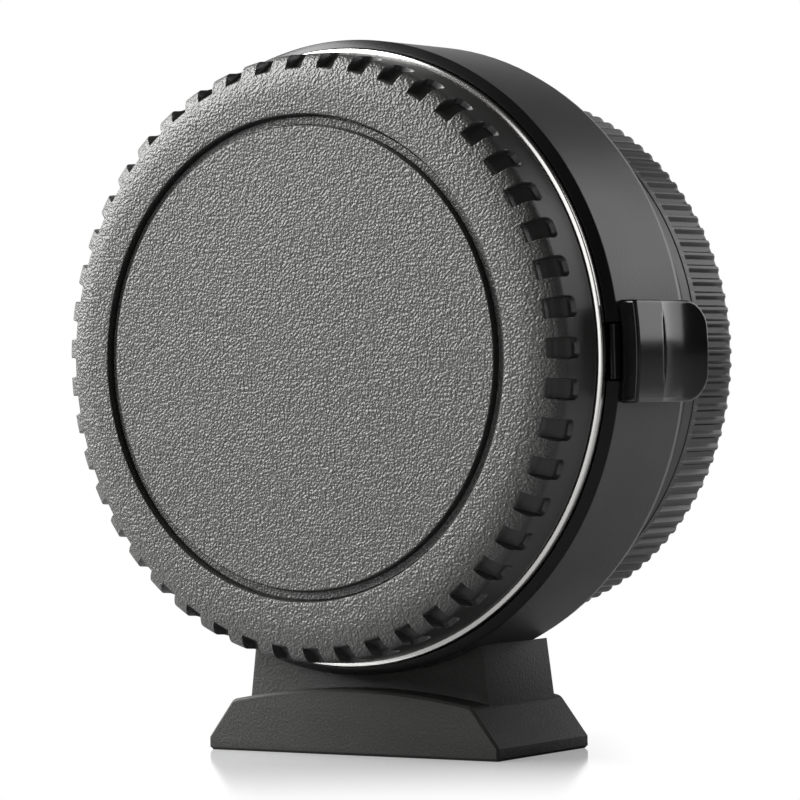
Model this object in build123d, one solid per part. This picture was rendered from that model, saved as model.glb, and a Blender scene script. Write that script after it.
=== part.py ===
"""Lens mount adapter with its two caps: a bayonet for reflex lenses in front, a bayonet for a
mirrorless camera behind, a lens release lever on the side and a tripod foot.

Frame: millimetres, +Z up, +Y from the lens side to the camera side, +X on the lever's side.
The origin is the mouth of the tripod socket, in the middle of the foot's underside.
Angles round the optical axis are counted in degrees from +X towards +Z.
"""
from build123d import *
from math import asin, cos, degrees, radians, sin, sqrt
import os

# Lens bayonet, from its throat outwards
lens_throat_radius = 26.8        # inside the bayonet tabs
lens_tab_reach = 2.4             # how far the tabs stand into the bore
lens_tab_thickness = 1.4
lens_tab_half_angle = 29.0
lens_flange_width = 3.75         # from the bore to the ring's rim
lens_ring_thickness = 1.98
lens_ring_edge = 0.12            # rounding of the ring's bright rim
bayonet_tab_count = 3
lens_bore_radius = lens_throat_radius + lens_tab_reach
lens_ring_radius = lens_bore_radius + lens_flange_width

# Trim ring and body tube outside the bayonet
bezel_gap = 0.1                  # dark joint round the bright ring
bezel_width = 0.95
bezel_height = 1.03              # rise of its sloping face
bezel_foot = 0.08                # upright edge below that slope
barrel_length = 13.47
barrel_wall = 1.8
barrel_web = 1.5                 # thickness of the front seat and of the rear wall
barrel_edge = 0.2                # fall of the bevel on the barrel's rear rim
barrel_edge_length = 0.85
seat_clearance = 0.7             # bore of the front seat over the bayonet's bore
bezel_inner_radius = lens_ring_radius + bezel_gap
barrel_radius = bezel_inner_radius + bezel_width
barrel_inner_radius = barrel_radius - barrel_wall
seat_radius = lens_bore_radius + seat_clearance

# Camera bayonet, from its throat outwards
camera_throat_radius = 17.4
camera_tube_wall = 1.6
camera_tube_length = 5.25        # how far the tube stands behind the camera flange
camera_tab_reach = 1.9
camera_tab_thickness = 1.6
camera_tab_half_angle = 24.0
camera_flange_width = 9.3        # from the tube to the flange's rim
camera_flange_thickness = 1.6
camera_lock_hole_radius = 1.2
neck_overhang = 1.3              # neck over the camera flange's rim
neck_lip_gap = 0.06              # joint between that rim and the neck's lip
neck_wall = 1.8
neck_web = 1.6
camera_tube_radius = camera_throat_radius + camera_tube_wall
camera_tab_radius = camera_tube_radius + camera_tab_reach
camera_flange_radius = camera_tube_radius + camera_flange_width
neck_radius = camera_flange_radius + neck_overhang

# Places along the optical axis
lens_flange_y = -9.70            # plane that a lens seats on
register_gap = 24.75             # lens flange to camera flange
barrel_front_y = lens_flange_y + lens_ring_thickness
barrel_rear_y = barrel_front_y + barrel_length
camera_flange_y = lens_flange_y + register_gap
neck_rear_y = camera_flange_y - camera_flange_thickness
rear_wall_y = barrel_rear_y - barrel_web

# Tripod foot
foot_height = 8.51               # underside to the lowest line of the barrel
foot_width = 37.9
foot_depth = 17.9
foot_edge = 1.35                 # upright edge round the base
foot_bottom_bevel = 0.3
base_top_width = 31.2            # where the sloping sides meet the stem
base_side_height = 5.61
base_crown = 1.45                # rise of the base's arched top at its middle
base_corner_radius = 1.2
base_side_bevel = 0.28
stem_front_setback = 3.53
stem_rear_setback = 1.53
stem_taper = 0.9                 # narrowing of each side up to the barrel
axis_height = foot_height + barrel_radius

# Tripod socket and the screws that hold the foot
socket_radius = 2.6
bush_wall = 2.3
bush_height = 5.6
foot_screw_spacing = 21.0
foot_screw_radius = 1.0
foot_screw_head_radius = 2.0
foot_screw_head = 1.6
foot_screw_recess = 0.6
foot_screw_hex = 1.1
foot_screw_y = (barrel_front_y + barrel_rear_y) / 2

# Release lever, its plate and the lock pin
lever_clearance = 0.2
lever_thickness = 1.85
lever_height = 10.6
lever_front_lip = 0.22           # lever's front end behind the barrel's front edge
lever_overhang = 0.22            # lever's rear end behind the barrel's rear edge
lever_corner_radius = 2.8
lever_edge_radius = 0.35
hollow_depth = 0.18              # of the thumb hollow, below the lever's front part
hollow_start = 5.3               # its distance from the lever's front end
hollow_bottom = 2.5              # from its start to its lowest line
lever_lip = 0.45                 # how far the lever's rear lip stands over its front part
lever_travel = 2.5
tongue_height = 5.7
tongue_reach = 0.84              # in front of the barrel's front edge
tongue_thickness = 0.6
tongue_sink = 0.15               # below the barrel's surface
slot_clearance = 0.2
stem_front_gap = 2.32            # from the barrel's front edge to the lever's inner stem
lever_stem_length = 5.1
plate_thickness = 1.0
plate_height = 8.0
plate_gap = 0.8                  # below the barrel's inner wall
plate_length = 5.6
plate_front_gap = 0.62           # behind the front seat
lug_thickness = 1.0
lug_height = 4.0
pin_radius = 0.8
pin_inset = 0.4                  # pin's centre inside the bayonet's bore
pin_stand = 1.3                  # in front of the lens flange at rest
pin_clearance = 0.08
pin_lug_margin = 0.1
pin_tip_bevel = 0.25
spring_radius = 0.85
spring_wire_radius = 0.15
spring_turn_count = 4
lever_screw_radius = 0.55
lever_screw_head_radius = 0.9
lever_screw_head = 0.55
lever_screw_depth = 1.7
lever_screw_spacing = 2.0

# Front cap
cap_gap = 0.23                   # cap's rim to the lens flange
cap_depth = 6.95
cap_inset = 0.4                  # cap's rim inside the bright ring's rim
cap_draft = 0.35
cap_shoulder_radius = 2.15
cap_plate = 2.0
cap_groove_radius = 24.54
cap_groove_width = 1.11
cap_groove_depth = 0.9
cap_notch_count = 48
cap_notch_width = 2.05
cap_notch_depth = 1.55
cap_notch_length = 3.9
cap_notch_corner = 0.7
cap_notch_phase_angle = -0.75
cap_pin_room = 0.3
cap_bayonet_clearance = 0.4
cap_bayonet_wall = 1.8
cap_tab_reach = 1.3
cap_tab_thickness = 1.3
cap_tab_half_angle = 24.0

# Rear cap
rear_cap_gap = 0.2
rear_cap_depth = 8.6
rear_cap_step = 0.05             # collar over the neck
rear_cap_collar = 0.9
rear_cap_wall = 2.1
rear_cap_plate = 1.6
rear_cap_edge = 0.95
rear_cap_recess_radius = 24.0
rear_cap_recess_depth = 0.5
rear_cap_rib_count = 120
rear_cap_rib_height = 0.35       # collar's level down to the valleys
rear_cap_rib_foot = 0.7          # part of the pitch that a rib takes at its foot
rear_cap_rib_crest = 0.28        # and at its crest
rear_cap_rib_root = 0.05         # how far the ribs are let into the grip below them
rear_cap_ring_wall = 1.8
rear_cap_tab_clearance = 0.4
rear_cap_tab_half_angle = 20.0

# Baffle, board and contacts inside
baffle_wall = 1.2
baffle_flange = 1.0
baffle_lug_gap = 0.6             # baffle's flange inside the lever's lug
baffle_front_gap = 6.3           # lens flange to the baffle's face
baffle_clearance = 0.2
baffle_lap = 1.0                 # baffle's end on the neck's front web
board_inner_gap = 0.7
board_width = 4.5
board_lever_gap = 0.95           # board's rim inside the lever's screw heads
board_thickness = 1.0
board_post_height = 1.32
board_post_radius = 1.5
board_screw_radius = 0.6
board_screw_head_radius = 1.2
board_screw_head = 0.6
board_screw_angles = (60.0, 180.0, 300.0)
chip_size = 3.4
chip_height = 0.9
chip_angles = (90.0, 112.0, 215.0)
contact_angle = 270.0            # both contact rows lie at the bottom
lens_contact_count = 8
lens_contact_angle_step = 6.5
lens_block_inset = 1.5           # from the baffle's bore
lens_block_width = 3.0
lens_block_depth = 1.6
lens_pin_radius = 0.55
lens_pin_stand = 0.9
camera_contact_count = 11
camera_contact_angle_step = 6.0
camera_block_width = 2.8
camera_pad_radius = 0.5
camera_pad_height = 0.25
block_end_angle = 3.0

# Machine screws of the mounts and the housing
mount_screw_radius = 0.8
mount_screw_head_radius = 1.4
mount_screw_head = 0.8
mount_screw_length = 3.7
lens_screw_place = 0.48          # share of the lens flange's width
camera_screw_place = 0.6         # share of the camera flange's width
mount_screw_angles = (45.0, 135.0, 225.0, 315.0)
housing_screw_angles = (15.0, 105.0, 195.0, 285.0)
housing_screw_head = 0.9
housing_screw_web_gap = 1.8      # screw circle outside the rear wall's bore
neck_foot_margin = 3.1           # neck's front rim outside that circle
leaf_thickness = 0.2
leaf_start_angle = 8.0
leaf_end_angle = 27.0
leaf_margin = 0.3

# Not sizes of the adapter: how far a cutting shape runs past what it cuts, and a rounding error
over = 1.0
tiny = 0.01

standing = (Align.CENTER, Align.CENTER, Align.MIN)
hanging = (Align.CENTER, Align.CENTER, Align.MAX)
optical_axis = Axis((0, 0, axis_height), (0, 1, 0))
lens_tab_angles = [360 / bayonet_tab_count * i for i in range(bayonet_tab_count)]
camera_tab_angles = [90 + 360 / bayonet_tab_count * i for i in range(bayonet_tab_count)]


def turned(*outline):
    """Ring turned about the optical axis from an outline of (radius, y) points."""
    face = make_face(Polyline(*outline, close=True))
    return revolve(Pos(0, 0, axis_height) * face, optical_axis)


def ring(inner, outer, y_start, y_end):
    return turned((inner, y_start), (outer, y_start), (outer, y_end), (inner, y_end))


def at_angle(shape, angle):
    """Turn a shape made on the +X side to an angle round the optical axis."""
    return shape.rotate(optical_axis, -angle)


def arc_ring(inner, outer, y_start, y_end, middle, half_angle):
    """Stretch of a ring, centred on an angle."""
    outline = Polyline((inner, y_start), (outer, y_start), (outer, y_end), (inner, y_end), close=True)
    stretch = revolve(Pos(0, 0, axis_height) * make_face(outline), optical_axis, 2 * half_angle)
    return at_angle(stretch, middle + half_angle)


def rod(radius, y_start, y_end, circle=0.0, angle=0.0):
    """Cylinder along the optical axis, at an angle on a circle about it."""
    bar = Cylinder(radius, y_end - y_start, align=standing)
    bar = Pos(circle, y_start, axis_height) * Rot(-90, 0, 0) * bar
    return at_angle(bar, angle)


def block(x_range, y_range, z_range):
    """Box between limits, with z counted from the optical axis."""
    size = [high - low for low, high in (x_range, y_range, z_range)]
    middle = [(high + low) / 2 for low, high in (x_range, y_range, z_range)]
    return Pos(middle[0], middle[1], middle[2] + axis_height) * Box(*size)


def countersunk(circle, angle, face_y, inward, length, shank=mount_screw_radius):
    """Flat-headed screw whose head lies in a face; inward is +1 or -1 along y."""
    head = Cone(mount_screw_head_radius, shank, mount_screw_head, align=standing)
    shaft = Cylinder(shank, length, align=standing)
    screw = Pos(circle, face_y, axis_height) * Rot(-90 * inward, 0, 0) * (head + shaft)
    return at_angle(screw, angle)


# Sizes that several pieces share
mount_screw_circle = lens_bore_radius + lens_flange_width * lens_screw_place
camera_screw_circle = camera_tube_radius + camera_flange_width * camera_screw_place
slot_half_height = tongue_height / 2 + slot_clearance
lever_front_y = barrel_front_y + lever_front_lip
lever_rear_y = barrel_rear_y + lever_overhang
lever_stem_y = barrel_front_y + stem_front_gap
lever_stem_rear_y = lever_stem_y + lever_stem_length
plate_top = barrel_inner_radius - plate_gap
plate_bottom = plate_top - plate_thickness
plate_front_y = barrel_front_y + barrel_web + plate_front_gap
plate_rear_y = plate_front_y + plate_length
pin_circle = lens_bore_radius - pin_inset
lug_foot = pin_circle - pin_radius - pin_lug_margin
lever_screw_middle_y = (plate_front_y + lug_thickness + plate_rear_y) / 2
lever_screw_ys = [lever_screw_middle_y + side * lever_screw_spacing / 2 for side in (-1, 1)]
slot_rear_y = lever_stem_rear_y + lever_travel + slot_clearance
board_outer_radius = plate_bottom - lever_screw_head - board_lever_gap
board_inner_radius = board_outer_radius - board_width
board_circle = (board_inner_radius + board_outer_radius) / 2
board_rear_y = rear_wall_y - board_post_height
board_front_y = board_rear_y - board_thickness
baffle_outer_radius = board_inner_radius - board_inner_gap
baffle_radius = baffle_outer_radius - baffle_wall
baffle_flange_radius = lug_foot - baffle_lug_gap
baffle_front_y = lens_flange_y + baffle_front_gap
web_bore_radius = baffle_outer_radius + baffle_clearance
housing_screw_circle = web_bore_radius + housing_screw_web_gap
lens_block_inner_radius = baffle_radius + lens_block_inset


def make_barrel():
    """Body tube with a front seat for the lens mount and a rear wall for the neck."""
    front_web_y = barrel_front_y + barrel_web
    body = turned((seat_radius, barrel_front_y), (barrel_radius, barrel_front_y),
                  (barrel_radius, barrel_rear_y - barrel_edge_length),
                  (barrel_radius - barrel_edge, barrel_rear_y),
                  (web_bore_radius, barrel_rear_y), (web_bore_radius, rear_wall_y),
                  (barrel_inner_radius, rear_wall_y), (barrel_inner_radius, front_web_y),
                  (seat_radius, front_web_y))
    for angle in board_screw_angles:
        body += rod(board_post_radius, board_rear_y, rear_wall_y, board_circle, angle)
    slot_floor = barrel_inner_radius - slot_clearance
    body -= block((slot_floor, barrel_radius + over), (barrel_front_y - over, slot_rear_y),
                  (-slot_half_height, slot_half_height))
    for angle in mount_screw_angles:
        body -= rod(mount_screw_radius, barrel_front_y, front_web_y, mount_screw_circle, angle)
    for angle in housing_screw_angles:
        body -= rod(mount_screw_radius, rear_wall_y, barrel_rear_y, housing_screw_circle, angle)
    for angle in board_screw_angles:
        body -= rod(board_screw_radius, board_rear_y, rear_wall_y, board_circle, angle)
    for side in (-1, 1):
        body -= foot_screw_shaft(side)
    return body


def make_front_bezel():
    """Glossy trim ring with a sloping face, open where the lever's tongue crosses it."""
    front_y = barrel_front_y - bezel_height
    bezel = turned((bezel_inner_radius, barrel_front_y), (bezel_inner_radius, front_y),
                   (barrel_radius, barrel_front_y - bezel_foot), (barrel_radius, barrel_front_y))
    return bezel - block((0, barrel_radius + over), (front_y - over, barrel_front_y + over),
                         (-slot_half_height, slot_half_height))


def make_lens_mount_ring():
    """Steel ring with three inward tabs that a lens turns in behind."""
    face_edge = (lens_ring_radius - lens_ring_edge, lens_flange_y)
    side_edge = (lens_ring_radius, lens_flange_y + lens_ring_edge)
    outline = [Polyline((lens_bore_radius, barrel_front_y), (lens_bore_radius, lens_flange_y), face_edge),
               RadiusArc(face_edge, side_edge, -lens_ring_edge),
               Polyline(side_edge, (lens_ring_radius, barrel_front_y), (lens_bore_radius, barrel_front_y))]
    rim = revolve(Pos(0, 0, axis_height) * make_face(outline), optical_axis)
    for angle in lens_tab_angles:
        rim += arc_ring(lens_throat_radius, lens_bore_radius, lens_flange_y,
                        lens_flange_y + lens_tab_thickness, angle, lens_tab_half_angle)
    for angle in mount_screw_angles:
        rim -= countersunk(mount_screw_circle, angle, lens_flange_y, 1, mount_screw_length)
    return rim - rod(pin_radius + pin_clearance, lens_flange_y - over, barrel_front_y + over, pin_circle)


def make_lens_mount_screws():
    return [countersunk(mount_screw_circle, angle, lens_flange_y, 1, mount_screw_length)
            for angle in mount_screw_angles]


def make_mount_leaf_springs():
    """Thin leaves behind the tabs that press a lens against its flange."""
    tab_rear_y = lens_flange_y + lens_tab_thickness
    middle = (leaf_start_angle + leaf_end_angle) / 2
    half = (leaf_end_angle - leaf_start_angle) / 2
    return [arc_ring(lens_throat_radius + leaf_margin, lens_bore_radius - leaf_margin, tab_rear_y,
                     tab_rear_y + leaf_thickness, angle + middle, half) for angle in lens_tab_angles]


def make_inner_baffle():
    """Black tube with a front flange; its rear end stands on the neck's front web."""
    return turned((baffle_radius, baffle_front_y), (baffle_flange_radius, baffle_front_y),
                  (baffle_flange_radius, baffle_front_y + baffle_flange),
                  (baffle_outer_radius, baffle_front_y + baffle_flange),
                  (baffle_outer_radius, barrel_rear_y), (baffle_radius, barrel_rear_y))


def contact_angles(count, pitch):
    return [contact_angle + (i - (count - 1) / 2) * pitch for i in range(count)]


def make_lens_contact_block():
    half = (lens_contact_count - 1) / 2 * lens_contact_angle_step + block_end_angle
    return arc_ring(lens_block_inner_radius, lens_block_inner_radius + lens_block_width,
                    baffle_front_y - lens_block_depth, baffle_front_y, contact_angle, half)


def make_lens_contact_pins():
    face_y = baffle_front_y - lens_block_depth
    circle = lens_block_inner_radius + lens_block_width / 2
    return [rod(lens_pin_radius, face_y - lens_pin_stand, face_y, circle, angle)
            for angle in contact_angles(lens_contact_count, lens_contact_angle_step)]


def make_circuit_board():
    board = ring(board_inner_radius, board_outer_radius, board_front_y, board_rear_y)
    for angle in board_screw_angles:
        board -= rod(board_screw_radius, board_front_y, board_rear_y, board_circle, angle)
    return board


def make_board_chips():
    chips = []
    for angle in chip_angles:
        half = chip_size / 2
        chip = block((board_circle - half, board_circle + half),
                     (board_front_y - chip_height, board_front_y), (-half, half))
        chips.append(at_angle(chip, angle))
    return chips


def make_board_screws():
    head_y = board_front_y - board_screw_head
    return [rod(board_screw_head_radius, head_y, board_front_y, board_circle, angle)
            + rod(board_screw_radius, board_front_y, rear_wall_y, board_circle, angle)
            for angle in board_screw_angles]


def make_rear_housing():
    """Neck of channel section: a web on the barrel, an outer wall, and a web for the camera mount
    inside a lip."""
    inner_front = baffle_radius - baffle_lap
    inner_rear = camera_tube_radius + neck_wall
    front_web_y = barrel_rear_y + neck_web
    foot_radius = housing_screw_circle + neck_foot_margin
    lip_inner = camera_flange_radius + neck_lip_gap
    housing = turned((inner_front, barrel_rear_y), (foot_radius, barrel_rear_y), (neck_radius, neck_rear_y),
                     (neck_radius, camera_flange_y), (lip_inner, camera_flange_y), (lip_inner, neck_rear_y),
                     (inner_rear, neck_rear_y), (inner_rear, neck_rear_y - neck_web),
                     (neck_radius - neck_wall, neck_rear_y - neck_web),
                     (foot_radius - neck_wall, front_web_y), (inner_front, front_web_y))
    for angle in housing_screw_angles:
        housing -= rod(mount_screw_radius, barrel_rear_y, front_web_y, housing_screw_circle, angle)
    for angle in mount_screw_angles:
        housing -= rod(mount_screw_radius, neck_rear_y - neck_web, neck_rear_y, camera_screw_circle, angle)
    return housing


def make_housing_screws():
    head_y = rear_wall_y - housing_screw_head
    return [rod(mount_screw_head_radius, head_y, rear_wall_y, housing_screw_circle, angle)
            + rod(mount_screw_radius, rear_wall_y, barrel_rear_y + neck_web, housing_screw_circle, angle)
            for angle in housing_screw_angles]


def make_camera_mount_ring():
    """Flange with a tube and three outward tabs that turn in behind a camera's mount."""
    tube_end_y = camera_flange_y + camera_tube_length
    mount = turned((camera_throat_radius, neck_rear_y), (camera_flange_radius, neck_rear_y),
                   (camera_flange_radius, camera_flange_y), (camera_tube_radius, camera_flange_y),
                   (camera_tube_radius, tube_end_y), (camera_throat_radius, tube_end_y))
    for angle in camera_tab_angles:
        mount += arc_ring(camera_tube_radius, camera_tab_radius, tube_end_y - camera_tab_thickness,
                          tube_end_y, angle, camera_tab_half_angle)
    for angle in mount_screw_angles:
        mount -= countersunk(camera_screw_circle, angle, camera_flange_y, -1, camera_flange_thickness)
    return mount - rod(camera_lock_hole_radius, neck_rear_y, camera_flange_y, camera_screw_circle)


def make_camera_mount_screws():
    length = camera_flange_thickness + neck_web
    return [countersunk(camera_screw_circle, angle, camera_flange_y, -1, length)
            for angle in mount_screw_angles]


def make_camera_contact_block():
    half = (camera_contact_count - 1) / 2 * camera_contact_angle_step + block_end_angle
    return arc_ring(camera_throat_radius - camera_block_width, camera_throat_radius, neck_rear_y,
                    camera_flange_y + camera_tube_length, contact_angle, half)


def make_camera_contact_pads():
    face_y = camera_flange_y + camera_tube_length
    circle = camera_throat_radius - camera_block_width / 2
    return [rod(camera_pad_radius, face_y, face_y + camera_pad_height, circle, angle)
            for angle in contact_angles(camera_contact_count, camera_contact_angle_step)]


def foot_screw_shaft(side):
    """Shank of a foot screw, from its head up through the barrel's wall."""
    x = side * foot_screw_spacing / 2
    top = axis_height - sqrt(barrel_inner_radius ** 2 - x ** 2)
    bottom = foot_screw_recess
    shaft = Cylinder(foot_screw_radius, top - bottom, align=standing)
    return Pos(x, foot_screw_y, bottom) * shaft


def make_foot_screws():
    """Socket-headed screws, sunk in the foot's underside."""
    screws = []
    for side in (-1, 1):
        place = Pos(side * foot_screw_spacing / 2, foot_screw_y, foot_screw_recess)
        head = place * Cylinder(foot_screw_head_radius, foot_screw_head,
                                align=standing)
        socket = place * extrude(RegularPolygon(foot_screw_hex, 6), foot_screw_head / 2)
        screws.append(head + foot_screw_shaft(side) - socket)
    return screws


def make_tripod_foot():
    """Flared base with an arched top, and a stem that is hollowed to the barrel."""
    half = foot_width / 2
    top_half = base_top_width / 2
    crown = base_side_height + base_crown
    outline = [Line((-half, 0), (half, 0)), Line((half, 0), (half, foot_edge)),
               Line((half, foot_edge), (top_half, base_side_height)),
               ThreePointArc((top_half, base_side_height), (0, crown), (-top_half, base_side_height)),
               Line((-top_half, base_side_height), (-half, foot_edge)),
               Line((-half, foot_edge), (-half, 0))]
    front_plane = Plane((0, foot_depth / 2, 0), x_dir=(1, 0, 0), z_dir=(0, -1, 0))
    base = extrude(front_plane * make_face(outline), foot_depth)
    corners = [edge for edge in base.edges().filter_by(Axis.Y)
               if abs(edge.center().Z - base_side_height) < tiny]
    base = fillet(corners, base_corner_radius)
    ends = [edge for face in base.faces().filter_by(Axis.Y) for edge in face.edges()
            if 0 < edge.center().Z < base_side_height - base_corner_radius]
    base = chamfer(ends, base_side_bevel)
    base = chamfer(base.faces().sort_by(Axis.Z)[0].edges(), foot_bottom_bevel)
    stem_depth = foot_depth - stem_front_setback - stem_rear_setback
    stem_middle_y = (stem_front_setback - stem_rear_setback) / 2
    stem_top = foot_height + barrel_radius - sqrt(barrel_radius ** 2 - top_half ** 2)
    stem_outline = Polyline((-top_half, base_side_height / 2), (top_half, base_side_height / 2),
                            (top_half, base_side_height), (top_half - stem_taper, stem_top),
                            (-top_half + stem_taper, stem_top), (-top_half, base_side_height), close=True)
    stem_plane = Plane((0, stem_middle_y + stem_depth / 2, 0), x_dir=(1, 0, 0), z_dir=(0, -1, 0))
    foot = base + extrude(stem_plane * make_face(stem_outline), stem_depth)
    foot -= rod(barrel_radius, -foot_depth, foot_depth)
    foot -= Cylinder(socket_radius + bush_wall, bush_height, align=standing)
    for side in (-1, 1):
        recess = Cylinder(foot_screw_head_radius, foot_screw_recess + foot_screw_head,
                          align=standing)
        foot -= Pos(side * foot_screw_spacing / 2, foot_screw_y, 0) * recess
        foot -= foot_screw_shaft(side)
    return foot


def make_tripod_bush():
    bush = Cylinder(socket_radius + bush_wall, bush_height, align=standing)
    return bush - Cylinder(socket_radius, bush_height, align=standing)


def make_release_lever():
    """Thumb lever on the barrel, hollowed up to a rear lip, with a stem through the slot and a
    tongue across the bezel."""
    inner = barrel_radius + lever_clearance
    pad = inner + lever_thickness
    outer = pad + lever_lip
    half = lever_height / 2
    edge = lever_edge_radius
    hollow_y = lever_front_y + hollow_start
    lip_y = lever_rear_y - edge
    outline = [Line((inner, lever_front_y), (pad - edge, lever_front_y)),
               RadiusArc((pad - edge, lever_front_y), (pad, lever_front_y + edge), -edge),
               Line((pad, lever_front_y + edge), (pad, hollow_y)),
               ThreePointArc((pad, hollow_y), (pad - hollow_depth, hollow_y + hollow_bottom), (outer, lip_y)),
               RadiusArc((outer, lip_y), (outer - edge, lever_rear_y), -edge),
               Line((outer - edge, lever_rear_y), (inner, lever_rear_y)),
               Line((inner, lever_rear_y), (inner, lever_front_y))]
    half_angle = degrees(asin(half / inner)) + over
    cover = revolve(Pos(0, 0, axis_height) * make_face(outline), optical_axis, 2 * half_angle)
    cover = at_angle(cover, half_angle)
    front_part = block((0, outer + over), (lever_front_y, lever_rear_y - lever_corner_radius),
                       (-half, half))
    rear_part = block((0, outer + over), (lever_front_y, lever_rear_y),
                      (-half + lever_corner_radius, half - lever_corner_radius))
    plan = front_part + rear_part
    for side in (-1, 1):
        corner = Cylinder(lever_corner_radius, outer + over, align=standing)
        plan += Pos(0, lever_rear_y - lever_corner_radius,
                    axis_height + side * (half - lever_corner_radius)) * Rot(0, 90, 0) * corner
    cover = cover & plan
    z_range = (-tongue_height / 2, tongue_height / 2)
    tongue_top = barrel_radius - tongue_sink
    tongue = block((tongue_top - tongue_thickness, tongue_top),
                   (barrel_front_y - tongue_reach, lever_stem_rear_y), z_range)
    stem = block((plate_top, inner + lever_thickness / 2), (lever_stem_y, lever_stem_rear_y), z_range)
    neck = block((tongue_top - tongue_thickness, inner + lever_thickness / 2),
                 (lever_front_y + edge, lever_stem_rear_y), z_range)
    lever = cover + tongue + neck + stem
    for y in lever_screw_ys:
        lever -= lever_screw_shank(y)
    return lever


def lever_screw_shank(y):
    shank = Cylinder(lever_screw_radius, plate_thickness + lever_screw_depth,
                     align=standing)
    return Pos(plate_bottom, y, axis_height) * Rot(0, 90, 0) * shank


def make_lever_screws():
    screws = []
    for y in lever_screw_ys:
        head = Cylinder(lever_screw_head_radius, lever_screw_head, align=hanging)
        screws.append(Pos(plate_bottom, y, axis_height) * Rot(0, 90, 0) * head
                      + lever_screw_shank(y))
    return screws


def make_lever_plate():
    """Sliding steel plate inside the barrel, with a lug that carries the lock pin."""
    plate = block((plate_bottom, plate_top), (plate_front_y, plate_rear_y),
                  (-plate_height / 2, plate_height / 2))
    plate += block((lug_foot, plate_top), (plate_front_y, plate_front_y + lug_thickness),
                   (-lug_height / 2, lug_height / 2))
    plate -= rod(pin_radius, plate_front_y, plate_front_y + lug_thickness, pin_circle)
    for y in lever_screw_ys:
        plate -= lever_screw_shank(y)
    return plate


def make_lock_pin():
    """Pin that stands out of the lens flange and drops into a lens's locking slot."""
    pin = rod(pin_radius, lens_flange_y - pin_stand, plate_front_y + lug_thickness, pin_circle)
    tip = pin.faces().sort_by(Axis.Y)[0].edges()
    return chamfer(tip, pin_tip_bevel)


def make_lever_spring():
    """Coil spring between the plate and the barrel's rear wall."""
    length = rear_wall_y - plate_rear_y - 2 * spring_wire_radius
    path = Helix(length / spring_turn_count, length, spring_radius)
    wire = sweep(Plane(path @ 0, z_dir=path % 0) * Circle(spring_wire_radius), path)
    place = Pos(plate_top - plate_thickness / 2, plate_rear_y + spring_wire_radius, axis_height)
    return place * Rot(-90, 0, 0) * wire


# The front cap's radii follow the bayonet that it covers
cap_rim_y = lens_flange_y - cap_gap
cap_front_y = cap_rim_y - cap_depth
cap_rim_radius = lens_ring_radius - cap_inset
cap_side_radius = cap_rim_radius - cap_draft
cap_notch_floor = cap_side_radius - cap_notch_depth
cap_skirt_inner = pin_circle + pin_radius + cap_pin_room
cap_bayonet_radius = lens_throat_radius - cap_bayonet_clearance
cap_tab_front_y = lens_flange_y + lens_tab_thickness + leaf_thickness + cap_bayonet_clearance / 2
cap_bayonet_rear_y = cap_tab_front_y + cap_tab_thickness


def make_front_cap():
    """Moulded lens-side cap: grained disc with a ring groove, notched rim and three bayonet tabs."""
    groove_outer = cap_groove_radius + cap_groove_width
    groove_floor = cap_front_y + cap_groove_depth
    shoulder = cap_shoulder_radius
    back_y = cap_front_y + cap_plate
    inner = cap_bayonet_radius - cap_bayonet_wall
    outline = [Polyline((0, back_y), (0, cap_front_y), (cap_groove_radius, cap_front_y),
                        (cap_groove_radius, groove_floor), (groove_outer, groove_floor),
                        (groove_outer, cap_front_y), (cap_side_radius - shoulder, cap_front_y)),
               RadiusArc((cap_side_radius - shoulder, cap_front_y),
                         (cap_side_radius, cap_front_y + shoulder), -shoulder),
               Polyline((cap_side_radius, cap_front_y + shoulder), (cap_rim_radius, cap_rim_y),
                        (cap_skirt_inner, cap_rim_y), (cap_skirt_inner, back_y),
                        (cap_bayonet_radius, back_y),
                        (cap_bayonet_radius, cap_bayonet_rear_y), (inner, cap_bayonet_rear_y),
                        (inner, back_y), (0, back_y))]
    cap = revolve(Pos(0, 0, axis_height) * make_face(outline), optical_axis)
    for angle in lens_tab_angles:
        cap += arc_ring(cap_bayonet_radius, cap_bayonet_radius + cap_tab_reach, cap_tab_front_y,
                        cap_bayonet_rear_y, angle, cap_tab_half_angle)
    return cap - cap_notch_cutters()


def cap_notch_cutters():
    """One round-cornered slot, open to the front, repeated round the rim."""
    length = cap_notch_length + over
    plane = Plane((cap_notch_floor, cap_front_y - over + length / 2, axis_height),
                  x_dir=(0, 1, 0), z_dir=(1, 0, 0))
    face = Rectangle(length, cap_notch_width)
    rear_corners = [vertex for vertex in face.vertices() if vertex.X > 0]
    slot = extrude(plane * fillet(rear_corners, cap_notch_corner), cap_notch_depth + cap_draft + over)
    return [at_angle(slot, cap_notch_phase_angle + 360 / cap_notch_count * i) for i in range(cap_notch_count)]


# The rear cap's radii follow the neck and the camera bayonet
rear_cap_front_y = camera_flange_y + rear_cap_gap
rear_cap_rear_y = rear_cap_front_y + rear_cap_depth
rear_cap_radius = neck_radius + rear_cap_step
rear_cap_ring_radius = camera_tab_radius + rear_cap_tab_clearance


def ribbed_outline(base, crest):
    """Closed outline of flat-topped ribs, in a plane across the optical axis."""
    pitch = 360 / rear_cap_rib_count
    corners = []
    for i in range(rear_cap_rib_count):
        for radius, share in ((base, -rear_cap_rib_foot), (crest, -rear_cap_rib_crest),
                              (crest, rear_cap_rib_crest), (base, rear_cap_rib_foot)):
            angle = radians(pitch * (i + share / 2))
            corners.append((radius * cos(angle), radius * sin(angle)))
    return make_face(Polyline(*corners, close=True))


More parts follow.
